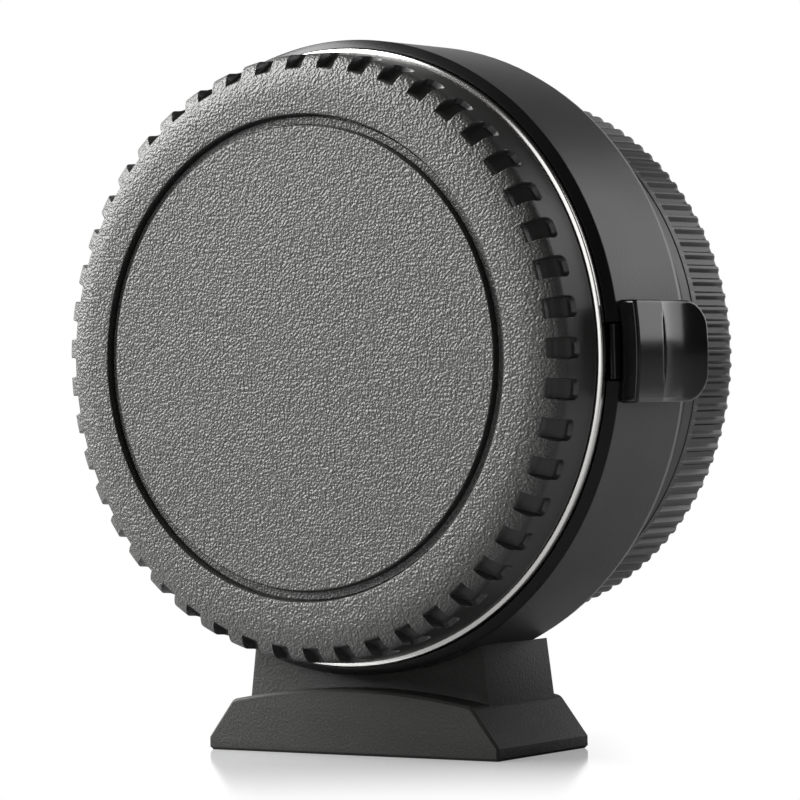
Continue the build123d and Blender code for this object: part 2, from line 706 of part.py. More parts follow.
def make_rear_cap():
    """Moulded camera-side cap: plain collar, grip with ribs at the collar's level, recessed end and
    three bayonet tabs."""
    collar = rear_cap_radius
    grip_radius = collar - rear_cap_rib_height
    wall_inner = collar - rear_cap_wall
    plate_y = rear_cap_rear_y - rear_cap_plate
    ring_inner = rear_cap_ring_radius
    ring_outer = ring_inner + rear_cap_ring_wall
    edge = rear_cap_edge
    recess_y = rear_cap_rear_y - rear_cap_recess_depth
    rib_start_y = rear_cap_front_y + rear_cap_collar
    rib_end_y = rear_cap_rear_y - edge
    outline = [Polyline((0, plate_y), (ring_inner, plate_y), (ring_inner, rear_cap_front_y),
                        (ring_outer, rear_cap_front_y), (ring_outer, plate_y), (wall_inner, plate_y),
                        (wall_inner, rear_cap_front_y), (collar, rear_cap_front_y), (collar, rib_start_y),
                        (grip_radius, rib_start_y), (grip_radius, rib_end_y)),
               RadiusArc((grip_radius, rib_end_y), (grip_radius - edge, rear_cap_rear_y), -edge),
               Polyline((grip_radius - edge, rear_cap_rear_y), (rear_cap_recess_radius, rear_cap_rear_y),
                        (rear_cap_recess_radius, recess_y), (0, recess_y), (0, plate_y))]
    cap = revolve(Pos(0, 0, axis_height) * make_face(outline), optical_axis)
    rib_plane = Plane((0, rib_start_y, axis_height), x_dir=(1, 0, 0), z_dir=(0, 1, 0))
    wave = rib_plane * ribbed_outline(grip_radius - rear_cap_rib_root, collar)
    grip = extrude(wave, rib_end_y - rib_start_y)
    cap += grip - rod(collar - rear_cap_wall / 2, rib_start_y - over, rear_cap_rear_y)
    tab_rear_y = camera_flange_y + camera_tube_length - camera_tab_thickness - rear_cap_tab_clearance
    for angle in camera_tab_angles:
        cap += arc_ring(camera_tube_radius + rear_cap_tab_clearance, ring_inner, rear_cap_front_y,
                        tab_rear_y, angle, rear_cap_tab_half_angle)
    return cap


makers = {
    "barrel": make_barrel,
    "front_bezel": make_front_bezel,
    "lens_mount_ring": make_lens_mount_ring,
    "lens_mount_screws": make_lens_mount_screws,
    "mount_leaf_springs": make_mount_leaf_springs,
    "inner_baffle": make_inner_baffle,
    "lens_contact_block": make_lens_contact_block,
    "lens_contact_pins": make_lens_contact_pins,
    "circuit_board": make_circuit_board,
    "board_chips": make_board_chips,
    "board_screws": make_board_screws,
    "rear_housing": make_rear_housing,
    "housing_screws": make_housing_screws,
    "camera_mount_ring": make_camera_mount_ring,
    "camera_mount_screws": make_camera_mount_screws,
    "camera_contact_block": make_camera_contact_block,
    "camera_contact_pads": make_camera_contact_pads,
    "tripod_foot": make_tripod_foot,
    "tripod_bush": make_tripod_bush,
    "foot_screws": make_foot_screws,
    "release_lever": make_release_lever,
    "lever_plate": make_lever_plate,
    "lever_screws": make_lever_screws,
    "lock_pin": make_lock_pin,
    "lever_spring": make_lever_spring,
    "front_cap": make_front_cap,
    "rear_cap": make_rear_cap,
}

os.makedirs("parts", exist_ok=True)
for name, make in makers.items():
    made = make()
    shape = Compound(children=made) if isinstance(made, list) else made
    export_step(shape, f"parts/{name}.step")
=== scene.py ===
"""Lens mount adapter with both caps on, standing on its tripod foot in a white studio."""
from math import asin, cos, exp, hypot, pi, radians, sin, sqrt

import bmesh
import bpy
from mathutils import Matrix, Vector


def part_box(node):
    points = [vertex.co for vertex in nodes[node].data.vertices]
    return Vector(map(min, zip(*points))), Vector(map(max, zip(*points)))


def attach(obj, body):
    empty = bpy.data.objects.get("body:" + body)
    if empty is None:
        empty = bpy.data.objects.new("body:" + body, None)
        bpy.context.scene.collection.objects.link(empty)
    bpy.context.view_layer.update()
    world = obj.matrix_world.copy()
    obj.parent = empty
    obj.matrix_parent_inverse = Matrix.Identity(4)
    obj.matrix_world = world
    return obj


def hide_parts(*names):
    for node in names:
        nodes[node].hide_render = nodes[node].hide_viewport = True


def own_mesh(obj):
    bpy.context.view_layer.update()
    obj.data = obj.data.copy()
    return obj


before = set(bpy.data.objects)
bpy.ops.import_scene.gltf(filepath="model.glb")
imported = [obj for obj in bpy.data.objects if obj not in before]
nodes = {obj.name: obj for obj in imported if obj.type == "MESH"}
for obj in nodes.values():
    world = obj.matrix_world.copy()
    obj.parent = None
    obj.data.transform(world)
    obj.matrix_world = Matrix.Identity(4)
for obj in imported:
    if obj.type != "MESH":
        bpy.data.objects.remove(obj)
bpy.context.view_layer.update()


# Barrel and neck: the adapter's metal body, turned from aluminium, blasted and anodised dark grey.
# The neck is screwed to the barrel's rear wall and carries the camera mount.
mm = 0.001
barrel_low, barrel_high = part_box("barrel")
axis_height = (barrel_low.z + barrel_high.z) / 2


class Wire:
    """A value inside a material. Sums, differences and products of wires add Math nodes."""

    def __init__(self, tree, socket=None):
        self.tree = tree
        self.socket = socket

    def node(self, kind, settings, sockets, output=0):
        """Add a node: its settings first, then the values or links of its sockets."""
        made = self.tree.nodes.new(kind)
        for name, value in settings.items():
            setattr(made, name, value)
        for name, value in sockets.items():
            self.set(made.inputs[name], value)
        return Wire(self.tree, made.outputs[output])

    def set(self, socket, value):
        if isinstance(value, Wire):
            self.tree.links.new(value.socket, socket)
        else:
            socket.default_value = value

    def math(self, operation, first, second):
        return self.node("ShaderNodeMath", {"operation": operation}, {0: first, 1: second})

    def __add__(self, other):
        return self.math("ADD", self, other)

    def __sub__(self, other):
        return self.math("SUBTRACT", self, other)

    def __rsub__(self, other):
        return self.math("SUBTRACT", other, self)

    def __mul__(self, other):
        return self.math("MULTIPLY", self, other)

    __radd__ = __add__
    __rmul__ = __mul__


def new_finish(name, sockets):
    """Material with a plain shader; sockets are the values that are the same all over."""
    material = bpy.data.materials.new(name)
    material.use_nodes = True
    shader = material.node_tree.nodes["Principled BSDF"]
    wire = Wire(material.node_tree)
    for socket, value in sockets.items():
        wire.set(shader.inputs[socket], value)
    return material, shader, wire


def tint(wire, mask, dark, light):
    """Colour that runs from one shade to another with a mask."""
    shades = {"Factor": mask, 6: (*dark, 1), 7: (*light, 1)}
    return wire.node("ShaderNodeMix", {"data_type": "RGBA"}, shades, 2)


def object_place(wire):
    return wire.node("ShaderNodeTexCoord", {}, {}, "Object")


def noise(wire, place, size, detail):
    """Soft random pattern whose bumps are about as wide as size."""
    return wire.node("ShaderNodeTexNoise", {}, {"Vector": place, "Scale": 1 / size, "Detail": detail})


def blasted_metal(name, dark, light, grain_size, grain_depth, roughness, index):
    """Fine blasted surface under anodising or paint: speckled shade, soft gloss, tiny bumps."""
    material, shader, wire = new_finish(name, {"IOR": index})
    place = object_place(wire)
    grain = noise(wire, place, grain_size, 2.0)
    cloud = noise(wire, place, 11 * mm, 3.0)
    bump = wire.node("ShaderNodeBump", {}, {"Height": grain, "Distance": grain_depth, "Strength": 1.0})
    wire.set(shader.inputs["Base Color"], tint(wire, grain * 0.6 + cloud * 0.4, dark, light))
    wire.set(shader.inputs["Roughness"], roughness - 0.06 + cloud * 0.12)
    wire.set(shader.inputs["Normal"], bump)
    return material


def paint(material, *names):
    """Give CAD nodes their finish."""
    for name in names:
        for slot in nodes[name].material_slots:
            slot.material = material


body_metal = blasted_metal("satin_body_metal", dark=(0.010, 0.010, 0.0096), light=(0.029, 0.0285, 0.027),
                           grain_size=0.2 * mm, grain_depth=0.02 * mm, roughness=0.40, index=1.5)
paint(body_metal, "barrel", "rear_housing")


# Bayonet rings: stainless lens mount and plated camera mount, turned and polished, held by screws.
# Fine concentric tool marks run round their faces, and three tabs stand into the lens ring's bore.
def turned_metal(name, shade, roughness, mark_pitch, mark_depth):
    """Bright metal with rings of tool marks about the optical axis."""
    material, shader, wire = new_finish(name, {"Metallic": 1.0})
    place = object_place(wire)
    axis_point = (0, 0, axis_height)
    centred = wire.node("ShaderNodeVectorMath", {"operation": "SUBTRACT"}, {0: place, 1: axis_point})
    across = wire.node("ShaderNodeVectorMath", {"operation": "MULTIPLY"}, {0: centred, 1: (1, 0, 1)})
    radius = wire.node("ShaderNodeVectorMath", {"operation": "LENGTH"}, {0: across}, "Value")
    marks = wire.node("ShaderNodeTexNoise", {"noise_dimensions": "1D"},
                      {"W": radius * (1 / mark_pitch), "Detail": 2.0})
    cloud = noise(wire, place, 8 * mm, 2.0)
    bump = wire.node("ShaderNodeBump", {}, {"Height": marks, "Distance": mark_depth, "Strength": 1.0})
    dark = tuple(value * 0.92 for value in shade)
    wire.set(shader.inputs["Base Color"], tint(wire, cloud, dark, shade))
    wire.set(shader.inputs["Roughness"], roughness + cloud * 0.06)
    wire.set(shader.inputs["Normal"], bump)
    return material


def turned_rows(mesh, section, turns):
    """Rows of points round the optical axis, one row for each (radius, y) of a half section."""
    return [[mesh.verts.new((radius * cos(turn), y, axis_height + radius * sin(turn))) for turn in turns]
            for radius, y in section]


def skin(mesh, rows, ring=False):
    """Faces between neighbouring rows; in a ring each row's end joins its start."""
    for first, second in zip(rows, rows[1:]):
        for i in range(len(first) if ring else len(first) - 1):
            j = (i + 1) % len(first)
            mesh.faces.new((first[i], first[j], second[j], second[i]))


def rounded(radius, y, edge, start, end):
    """Arc of a half section about a centre, from one angle to another in degrees from +radius to +y."""
    turns = [radians(start + (end - start) * i / 5) for i in range(6)]
    return [(radius + edge * cos(turn), y + edge * sin(turn)) for turn in turns]


def whole_turn(count):
    return [2 * pi * i / count for i in range(count)]


def smoothed(piece):
    """Faces outwards, soft shading and crisp corners."""
    mesh = bmesh.new()
    mesh.from_mesh(piece.data)
    bmesh.ops.recalc_face_normals(mesh, faces=mesh.faces)
    mesh.to_mesh(piece.data)
    mesh.free()
    piece.data.shade_smooth()
    piece.data.set_sharp_from_angle(angle=radians(40))


def keep_piece(name, mesh, material):
    """Turn a finished bmesh into an object."""
    data = bpy.data.meshes.new(name)
    mesh.to_mesh(data)
    mesh.free()
    data.materials.append(material)
    piece = bpy.data.objects.new(name, data)
    bpy.context.scene.collection.objects.link(piece)
    smoothed(piece)
    return piece


def applied(piece):
    """Replace a piece's mesh by what its modifiers make of it."""
    shown = piece.evaluated_get(bpy.context.evaluated_depsgraph_get())
    whole = bpy.data.meshes.new_from_object(shown)
    piece.modifiers.clear()
    piece.data = whole
    smoothed(piece)


def lens_ring():
    """Flat ring whose front face is crowned towards its bright rim."""
    low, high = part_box("lens_mount_ring")
    bore, rim, inner_edge = 29.2 * mm, high.x, 0.08 * mm
    crown, crown_inset, edge, edge_drop = 1.45 * mm, 0.7157 * mm, 0.1425 * mm, 0.2748 * mm
    section = [(bore, high.y), *rounded(bore + inner_edge, low.y + inner_edge, inner_edge, 180, 270),
               *rounded(rim - crown_inset, low.y + crown, crown, -90, -64),
               *rounded(rim - edge, low.y + edge_drop, edge, -64, 0), (rim, high.y)]
    mesh = bmesh.new()
    rows = turned_rows(mesh, section, whole_turn(512))
    skin(mesh, [*rows, rows[0]], ring=True)
    return mesh


def add_drill(mesh, circle, angle, section):
    """Round cutter along y, of (radius, y) points, at an angle on a circle about the optical axis."""
    x, z = circle * cos(angle), axis_height + circle * sin(angle)
    rows = [[mesh.verts.new((x + radius * cos(turn), y, z + radius * sin(turn))) for turn in whole_turn(24)]
            for radius, y in section]
    skin(mesh, rows, ring=True)
    mesh.faces.new(rows[0])
    mesh.faces.new(list(reversed(rows[-1])))


def lens_ring_holes():
    """Countersinks for four screws and the hole of the lock pin, as one cutting shape."""
    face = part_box("lens_mount_ring")[0].y
    through_y = face + 3 * mm
    screw_circle, screw_hole, sink_mouth, sink_depth = 31.0 * mm, 0.8 * mm, 1.41 * mm, 0.8 * mm
    pin_circle, pin_hole = 28.8 * mm, 0.88 * mm
    mesh = bmesh.new()
    for i in range(4):
        add_drill(mesh, screw_circle, radians(45 + 90 * i),
                  [(sink_mouth, face - 0.01 * mm), (screw_hole, face + sink_depth), (screw_hole, through_y)])
    add_drill(mesh, pin_circle, 0.0, [(pin_hole, face - 1 * mm), (pin_hole, through_y)])
    return mesh


def drilled(piece, cutter):
    """Cut holes in a piece."""
    holes = piece.modifiers.new("holes", "BOOLEAN")
    holes.object = cutter
    applied(piece)


def geometry_tree(name, inputs, kinds, links):
    """Geometry nodes from named inputs, named nodes and the links between their sockets."""
    tree = bpy.data.node_groups.new(name, "GeometryNodeTree")
    for entry, kind in inputs.items():
        tree.interface.new_socket(entry, in_out="INPUT", socket_type="NodeSocket" + kind)
    tree.interface.new_socket("Piece", in_out="OUTPUT", socket_type="NodeSocketGeometry")
    made = {part: tree.nodes.new(kind) for part, kind in kinds.items()}
    for source, output, target, entry in links:
        tree.links.new(made[source].outputs[output], made[target].inputs[entry])
    return tree, made


def repeat_tree():
    """Geometry nodes that set copies of a piece round the optical axis and weld them to one mesh."""
    tree, made = geometry_tree(
        "copies_round_axis",
        {"Piece": "Geometry", "Copies": "Int", "Axis Point": "Vector", "Weld Distance": "Float",
         "Finish": "Material"},
        {"in": "NodeGroupInput", "line": "GeometryNodeMeshLine", "index": "GeometryNodeInputIndex",
         "step": "ShaderNodeMath", "turn": "ShaderNodeMath", "euler": "ShaderNodeCombineXYZ",
         "copies": "GeometryNodeInstanceOnPoints", "real": "GeometryNodeRealizeInstances",
         "weld": "GeometryNodeMergeByDistance", "finish": "GeometryNodeSetMaterial",
         "out": "NodeGroupOutput"},
        (("in", "Copies", "line", "Count"), ("in", "Axis Point", "line", "Start Location"),
         ("in", "Copies", "step", 1), ("index", 0, "turn", 0), ("step", 0, "turn", 1),
         ("turn", 0, "euler", "Y"),
         ("line", "Mesh", "copies", "Points"), ("in", "Piece", "copies", "Instance"),
         ("euler", 0, "copies", "Rotation"), ("copies", 0, "real", "Geometry"),
         ("real", 0, "weld", "Geometry"),
         ("in", "Weld Distance", "weld", "Distance"), ("weld", 0, "finish", "Geometry"),
         ("in", "Finish", "finish", "Material"), ("finish", 0, "out", "Piece")))
    made["step"].operation = "DIVIDE"
    made["step"].inputs[0].default_value = 2 * pi
    made["turn"].operation = "MULTIPLY"
    made["line"].inputs["Offset"].default_value = (0, 0, 0)
    return tree


def grown(name, data, tree, values):
    """Run geometry nodes on a mesh with these inputs and keep the result as a plain object."""
    piece = bpy.data.objects.new(name, data)
    bpy.context.scene.collection.objects.link(piece)
    modifier = piece.modifiers.new("nodes", "NODES")
    modifier.node_group = tree
    for item in tree.interface.items_tree:
        if item.in_out == "INPUT" and item.name in values:
            modifier[item.identifier] = values[item.name]
    applied(piece)
    return piece


def ring_of(name, mesh, copies, material):
    """Repeat a bmesh piece, made about the y axis, round the optical axis as one plain object."""
    data = bpy.data.meshes.new(name)
    mesh.to_mesh(data)
    mesh.free()
    tree = bpy.data.node_groups.get("copies_round_axis") or repeat_tree()
    return grown(name, data, tree, {"Copies": copies, "Axis Point": (0, 0, axis_height),
                                    "Weld Distance": 0.001 * mm, "Finish": material})


def arc_tab(inner, outer, y_start, y_end, middle, half):
    """Bayonet tab about the y axis: a stretch of ring with softened corners."""
    edge = 0.12 * mm
    section = [*rounded(inner + edge, y_start + edge, edge, 180, 270),
               *rounded(outer - edge, y_start + edge, edge, 270, 360),
               *rounded(outer - edge, y_end - edge, edge, 0, 90),
               *rounded(inner + edge, y_end - edge, edge, 90, 180)]
    mesh = bmesh.new()
    turns = [radians(middle - half + 2 * half * i / 40) for i in range(41)]
    rows = [[mesh.verts.new((radius * cos(turn), y, radius * sin(turn))) for turn in turns]
            for radius, y in section]
    skin(mesh, [*rows, rows[0]])
    mesh.faces.new([row[0] for row in rows])
    mesh.faces.new([row[-1] for row in reversed(rows)])
    return mesh


mount_metal = turned_metal("polished_mount_metal", (0.72, 0.71, 0.69), 0.14, 0.05 * mm, 0.0006 * mm)
paint(mount_metal, "camera_mount_ring", "lens_mount_ring")
ring_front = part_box("lens_mount_ring")[0].y
ring_piece = keep_piece("lens_mount_bright_ring", lens_ring(), mount_metal)
ring_tab = arc_tab(26.8 * mm, 29.3 * mm, ring_front, ring_front + 1.4 * mm, middle=0, half=29)
ring_tabs = ring_of("lens_mount_tabs", ring_tab, 3, mount_metal)
hole_cutter = keep_piece("lens_mount_hole_cutter", lens_ring_holes(), mount_metal)
drilled(ring_piece, hole_cutter)
drilled(ring_tabs, hole_cutter)
bpy.data.objects.remove(hole_cutter)
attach(ring_piece, "adapter")
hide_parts("lens_mount_ring")
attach(ring_tabs, "adapter")
screw_steel = turned_metal("plain_screw_steel", (0.45, 0.45, 0.46), 0.28, 0.08 * mm, 0.001 * mm)
paint(screw_steel, "lens_mount_screws", "camera_mount_screws", "housing_screws", "board_screws",
      "foot_screws", "lever_screws", "mount_leaf_springs", "lever_plate", "lock_pin", "lever_spring",
      "tripod_bush")


# Baffle, contact blocks, circuit board and contacts: matt black mouldings that stop stray light,
# a green board with black chips, and gilt contacts. All of it lies hidden under the caps.
def moulded_plastic(name, dark, light, grain_size, grain_depth, roughness):
    """Moulded plastic with a faint spark texture."""
    material, shader, wire = new_finish(name, {"IOR": 1.5})
    place = object_place(wire)
    grain = noise(wire, place, grain_size, 2.0)
    bump = wire.node("ShaderNodeBump", {}, {"Height": grain, "Distance": grain_depth, "Strength": 1.0})
    wire.set(shader.inputs["Base Color"], tint(wire, grain, dark, light))
    wire.set(shader.inputs["Roughness"], roughness - 0.05 + grain * 0.1)
    wire.set(shader.inputs["Normal"], bump)
    return material


black_moulding = moulded_plastic("matt_black_moulding", (0.008, 0.008, 0.008), (0.014, 0.014, 0.015),
                                 grain_size=0.2 * mm, grain_depth=0.01 * mm, roughness=0.65)
paint(black_moulding, "inner_baffle", "lens_contact_block", "camera_contact_block", "board_chips")
board_resist = moulded_plastic("green_board_resist", (0.010, 0.060, 0.028), (0.016, 0.085, 0.040),
                               grain_size=0.6 * mm, grain_depth=0.004 * mm, roughness=0.35)
paint(board_resist, "circuit_board")
gilt = turned_metal("gilt_contact", (0.83, 0.62, 0.26), 0.2, 0.1 * mm, 0.0005 * mm)
paint(gilt, "lens_contact_pins", "camera_contact_pads")


# Front bezel: a thin black trim ring with a sloping face, moulded glossy and pressed on the barrel's edge.
# It frames the bright mount ring and is open where the release lever's tongue crosses it.
def gloss_black(name, shade, roughness, index):
    """Polished black plastic with faint smears in its gloss."""
    material, shader, wire = new_finish(name, {"IOR": index})
    smear = noise(wire, object_place(wire), 4 * mm, 4.0)
    light = tuple(value * 1.5 for value in shade)
    wire.set(shader.inputs["Base Color"], tint(wire, smear, shade, light))
    wire.set(shader.inputs["Roughness"], roughness + smear * 0.06)
    return material


def bezel_ring():
    """Sloping ring with softened rims, cut straight at the lever's slot."""
    low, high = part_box("front_bezel")
    rim, inner, half_slot = high.z - axis_height, 33.05 * mm, 3.05 * mm
    section = [(inner, high.y), *rounded(inner + 0.06 * mm, low.y + 0.06 * mm, 0.06 * mm, 180, 315),
               *rounded(rim - 0.22 * mm, high.y - 0.074 * mm, 0.22 * mm, -45, 0), (rim, high.y)]
    mesh = bmesh.new()
    rows = []
    for radius, y in section:
        gap = asin(half_slot / radius)
        turns = [gap + (2 * pi - 2 * gap) * i / 500 for i in range(501)]
        rows.extend(turned_rows(mesh, [(radius, y)], turns))
    skin(mesh, [*rows, rows[0]])
    mesh.faces.new([row[0] for row in rows])
    mesh.faces.new([row[-1] for row in reversed(rows)])
    return mesh


bezel_gloss = gloss_black("gloss_black_trim", (0.006, 0.006, 0.006), 0.25, 1.29)
paint(bezel_gloss, "front_bezel")
bezel_piece = keep_piece("front_bezel_ring", bezel_ring(), bezel_gloss)
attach(bezel_piece, "adapter")
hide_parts("front_bezel")


# Release lever: a glossy black moulding on the barrel's side, with a thumb hollow and rounded edges.
# Its stem goes through the barrel's slot, and its tongue crosses the bezel.
lever_low, lever_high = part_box("release_lever")
lever_front = barrel_low.y + 0.22 * mm
lever_rear = lever_high.y
lever_half = lever_high.z - axis_height
lever_crease = lever_front + 5.3 * mm
lever_front_corner = 0.5 * mm
lever_rear_corner = 2.8 * mm


def lever_level(y, z):
    """Radius of the lever's outer face: a plain front part, a crease, a hollow and a rising rear lip."""
    pad, crease_width, crease_middle, crease_half_length = 36.05 * mm, 0.14 * mm, 0.4 * mm, 3.6 * mm
    past = max(y - lever_crease, 0) / mm
    fade = max(0, 1 - ((z - crease_middle) / crease_half_length) ** 2)
    crease = 0.2 * exp(-((y - lever_crease) / crease_width) ** 2) * fade
    return pad + (-0.133 * past + 0.0243 * past ** 2 - crease) * mm


def lever_inside(y, z):
    """How far a point of the lever's plan lies inside its rounded outline."""
    corner = lever_front_corner if y < 0 else lever_rear_corner
    to_end = min(y - lever_front, lever_rear - y)
    to_side = lever_half - abs(z)
    if to_end < corner and to_side < corner:
        return corner - hypot(corner - to_end, corner - to_side)
    return min(to_end, to_side)


def lever_half_width(y):
    corner = lever_front_corner if y < 0 else lever_rear_corner
    left = max(corner - min(y - lever_front, lever_rear - y), 0)
    return lever_half - corner + sqrt(max(corner ** 2 - left ** 2, 0))


def lever_cover(mesh):
    """Thumb piece: a plate curved to the barrel, with a rounded rim."""
    inner, rim = 34.2 * mm, 0.34 * mm
    near_edge = (0.0, 0.015, 0.05, 0.1, 0.16, 0.24, 0.34, 0.5, 0.8, 1.2, 1.7, 2.2)
    near_crease = (-0.3, -0.18, -0.12, -0.07, -0.03, 0.0, 0.03, 0.07, 0.12, 0.18, 0.3)
    ys = [lever_front + step * mm for step in (*near_edge, 3.0, 4.0, 4.6)]
    ys += [lever_crease + step * mm for step in (*near_crease, 0.6, 1.0, 1.5, 2.0, 2.6, 3.2, 3.8, 4.4, 5.0)]
    ys += [lever_rear - step * mm for step in (2.8, 2.5, *reversed(near_edge))]
    sides = [1 - step / 5.3 for step in (*near_edge, 3.0, 3.7, 4.4)]
    shares = [-share for share in sides] + [0.0] + list(reversed(sides))

    def point(radius, y, z):
        return mesh.verts.new((sqrt(radius ** 2 - z ** 2), y, axis_height + z))

    outer_rows, inner_rows = [], []
    for y in ys:
        zs = [lever_half_width(y) * share for share in shares]
        depths = [max(rim - max(lever_inside(y, z), 0), 0) for z in zs]
        outer_rows.append([point(lever_level(y, z) - rim + sqrt(max(rim ** 2 - depth ** 2, 0)), y, z)
                           for z, depth in zip(zs, depths)])
        inner_rows.append([point(inner, y, z) for z in zs])
    skin(mesh, outer_rows)
    skin(mesh, [list(reversed(row)) for row in inner_rows])
    for outer, under in ((outer_rows[0], inner_rows[0]), (outer_rows[-1], inner_rows[-1]),
                         ([row[0] for row in outer_rows], [row[0] for row in inner_rows]),
                         ([row[-1] for row in outer_rows], [row[-1] for row in inner_rows])):
        skin(mesh, [outer, under])


def add_block(mesh, x_range, y_range, half, edge):
    """Block with softened edges, even above and below the optical axis."""
    size = (x_range[1] - x_range[0], y_range[1] - y_range[0], 2 * half)
    place = ((x_range[0] + x_range[1]) / 2, (y_range[0] + y_range[1]) / 2, axis_height)
    stretch = Matrix.Translation(place) @ Matrix.Diagonal((*size, 1))
    made = bmesh.ops.create_cube(mesh, size=1, matrix=stretch)
    edges = list({line for vert in made["verts"] for line in vert.link_edges})
    bmesh.ops.bevel(mesh, geom=edges, offset=edge, segments=3, profile=0.5, affect="EDGES")


lever_mesh = bmesh.new()
lever_cover(lever_mesh)
tongue = (33.25 * mm, 33.85 * mm), (lever_low.y, lever_front + 7 * mm), 2.85 * mm, 0.1 * mm
bridge = (33.3 * mm, 35.1 * mm), (lever_front + 0.4 * mm, lever_front + 7.1 * mm), 2.8 * mm, 0.1 * mm
stem = (lever_low.x, 35.0 * mm), (lever_front + 2.1 * mm, lever_front + 7.2 * mm), 2.85 * mm, 0.15 * mm
for block in (tongue, bridge, stem):
    add_block(lever_mesh, *block)
lever_gloss = gloss_black("gloss_black_lever", (0.005, 0.005, 0.005), 0.09, 1.47)
paint(lever_gloss, "release_lever")
lever_piece = keep_piece("release_lever_moulding", lever_mesh, lever_gloss)
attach(lever_piece, "lever")
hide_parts("release_lever")


# Lever spring: a small coil of cold-wound steel wire inside the barrel, between the lever's plate
# and the barrel's rear wall. In the adapter it pushes the lever home; here the coil is fixed to the adapter's
# body and keeps its length when the lever slides back.
def coil_tree():
    """Geometry nodes that wind a round wire along y from a starting point, with closed ends."""
    tree, made = geometry_tree(
        "wound_wire",
        {"Piece": "Geometry", "Turns": "Float", "Length": "Float", "Coil Radius": "Float",
         "Wire Radius": "Float", "Start": "Vector", "Finish": "Material"},
        {"in": "NodeGroupInput", "path": "GeometryNodeCurveSpiral",
         "section": "GeometryNodeCurvePrimitiveCircle", "wire": "GeometryNodeCurveToMesh",
         "place": "GeometryNodeTransform", "real": "GeometryNodeRealizeInstances",
         "finish": "GeometryNodeSetMaterial", "out": "NodeGroupOutput"},
        (("in", "Turns", "path", "Rotations"), ("in", "Length", "path", "Height"),
         ("in", "Coil Radius", "path", "Start Radius"), ("in", "Coil Radius", "path", "End Radius"),
         ("in", "Wire Radius", "section", "Radius"), ("path", 0, "wire", "Curve"),
         ("section", 0, "wire", "Profile Curve"), ("wire", 0, "place", "Geometry"),
         ("in", "Start", "place", "Translation"), ("place", 0, "real", "Geometry"),
         ("real", 0, "finish", "Geometry"),
         ("in", "Finish", "finish", "Material"), ("finish", 0, "out", "Piece")))
    made["path"].inputs["Resolution"].default_value = 32
    made["section"].inputs["Resolution"].default_value = 12
    made["wire"].inputs["Fill Caps"].default_value = True
    made["place"].inputs["Rotation"].default_value = (-pi / 2, 0, 0)
    return tree


spring_low, spring_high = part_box("lever_spring")
spring_length = spring_high.y - spring_low.y
spring_wire = 0.15 * mm
spring_x = (spring_low.x + spring_high.x) / 2
spring_piece = grown("lever_coil_spring", bpy.data.meshes.new("lever_coil_spring"), coil_tree(), {
    "Turns": 4.0, "Length": spring_length - 2 * spring_wire,
    "Coil Radius": spring_high.x - spring_x - spring_wire, "Wire Radius": spring_wire,
    "Start": (spring_x, spring_low.y + spring_wire, axis_height), "Finish": screw_steel})
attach(spring_piece, "adapter")
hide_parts("lever_spring")
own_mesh(spring_piece)


# Tripod foot: a die casting with a flared base, blasted and painted matt dark grey, and a threaded
# steel bush pressed into its underside. Two socket screws from below hold it to the barrel.
def softened_casting(name, node, width, material):
    """Copy of a CAD node, merged, with its hard edges slightly rounded."""
    mesh = bmesh.new()
    mesh.from_mesh(nodes[node].data)
    bmesh.ops.remove_doubles(mesh, verts=mesh.verts, dist=0.002 * mm)
    bmesh.ops.dissolve_limit(mesh, angle_limit=radians(0.6), verts=mesh.verts, edges=mesh.edges)
    data = bpy.data.meshes.new(name)
    mesh.to_mesh(data)
    mesh.free()
    for layer in ("custom_normal", "sharp_face", "sharp_edge"):
        if layer in data.attributes:
            data.attributes.remove(data.attributes[layer])
    piece = bpy.data.objects.new(name, data)
    bpy.context.scene.collection.objects.link(piece)
    bevel = piece.modifiers.new("soft_edges", "BEVEL")
    bevel.width = width
    bevel.segments = 3
    bevel.limit_method = "ANGLE"
    bevel.angle_limit = radians(28)
    applied(piece)
    piece.data.materials.clear()
    piece.data.materials.append(material)
    return piece


def threaded_bush():
    """Steel insert with the coarse thread of a tripod screw in its bore."""
    low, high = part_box("tripod_bush")
    outer, crest, depth, pitch = high.x, 2.6 * mm, 0.5 * mm, 1.27 * mm
    count, steps = 48, 66
    mesh = bmesh.new()
    bore = []
    for i in range(steps + 1):
        z = low.z + (high.z - low.z) * i / steps
        mouth = min(1, i / 4, (steps - i) / 4)
        row = []
        for j, turn in enumerate(whole_turn(count)):
            phase = ((z - low.z) / pitch - j / count) % 1
            groove = max(0, 1 - abs(phase - 0.5) / 0.42) * mouth
            radius = crest + depth * min(groove, 0.85)
            row.append(mesh.verts.new((radius * cos(turn), radius * sin(turn), z)))
        bore.append(row)
    shell = [[mesh.verts.new((outer * cos(turn), outer * sin(turn), z)) for turn in whole_turn(count)]
             for z in (high.z, low.z)]
    rows = [*bore, *shell]
    skin(mesh, [*rows, rows[0]], ring=True)
    return mesh


foot_paint = blasted_metal("matt_foot_paint", dark=(0.009, 0.0089, 0.0085), light=(0.041, 0.0405, 0.0382),
                           grain_size=0.28 * mm, grain_depth=0.05 * mm, roughness=0.55, index=1.32)
paint(foot_paint, "tripod_foot")
foot_piece = softened_casting("tripod_foot_casting", "tripod_foot", 0.12 * mm, foot_paint)
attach(foot_piece, "adapter")
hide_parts("tripod_foot")
bush_piece = keep_piece("tripod_bush_thread", threaded_bush(), screw_steel)
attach(bush_piece, "adapter")
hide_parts("tripod_bush")


